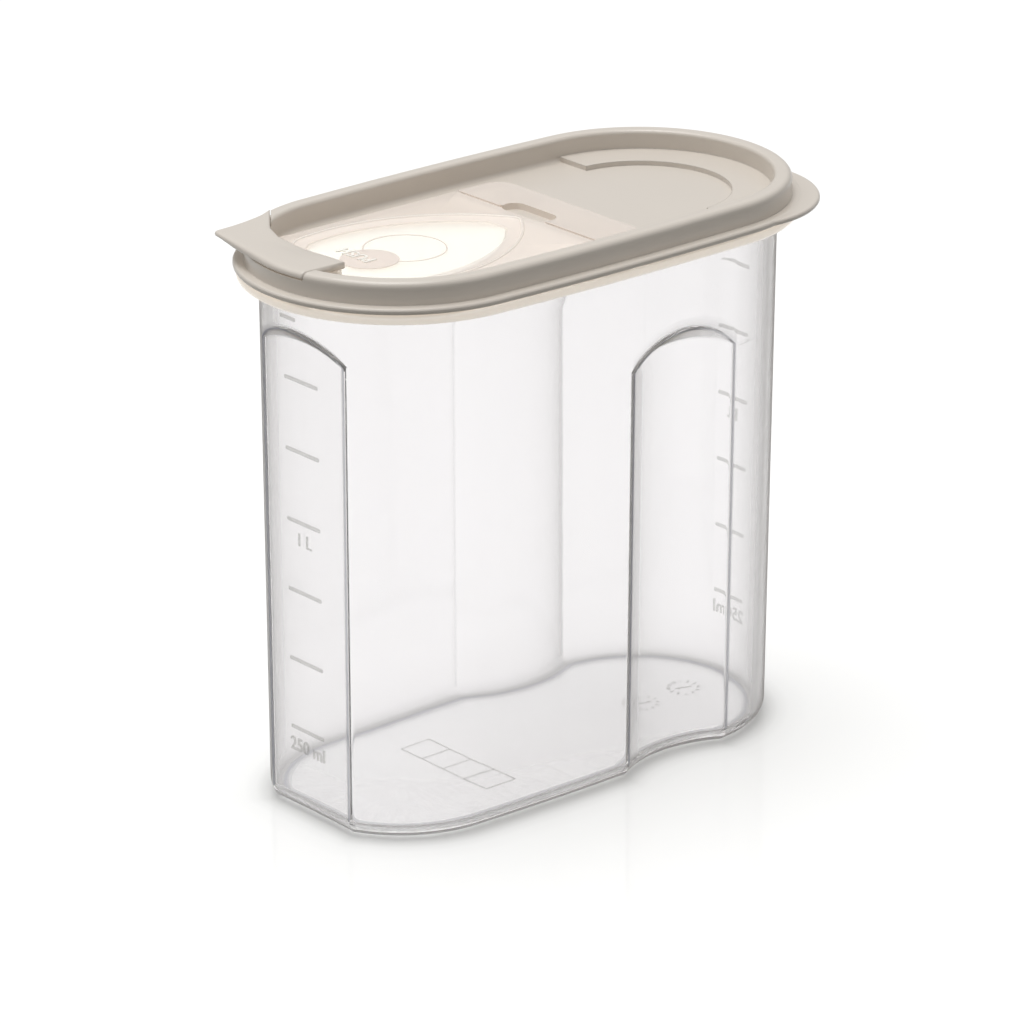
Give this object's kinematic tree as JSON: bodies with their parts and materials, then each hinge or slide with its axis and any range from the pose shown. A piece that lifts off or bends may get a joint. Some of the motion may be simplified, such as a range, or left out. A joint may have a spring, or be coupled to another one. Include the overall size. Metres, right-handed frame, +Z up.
{
  "type": "cereal container with flip spout",
  "caption": "Clear oval storage container with a litre scale, grip hollows and a lift-off lid that carries a hinged flip spout for pouring dry food.",
  "frame": {"origin": "centre of the container's box, on the plane it stands on", "axes": "+X along the container's length, from the spout end to the rear end; +Y across it, away from the side with the cut near end of the flap's lip; +Z up"},
  "size_m": [0.191, 0.0982, 0.1748],
  "materials": {
    "clear_body": "clear",
    "lid": "satin",
    "flap": "satin, slightly translucent"
  },
  "bodies": {
    "container": {"container_body": "clear_body", "rim_collar": "clear_body"},
    "lid": {"lid": "lid", "hinge_strip": "flap", "hinge_film": "flap"},
    "flap": {"spout_flap": "flap"}
  },
  "joints": [
    {"name": "lid_lift", "type": "slide", "parent": "container", "child": "lid", "axis": [0, 0, 1], "range_m": [0, 0.05]},
    {"name": "flap_hinge", "type": "hinge", "parent": "lid", "child": "flap", "pos_m": [0.0026, 0, 0.1695], "axis": [0, 1, 0], "range_deg": [0, 160]}
  ]
}
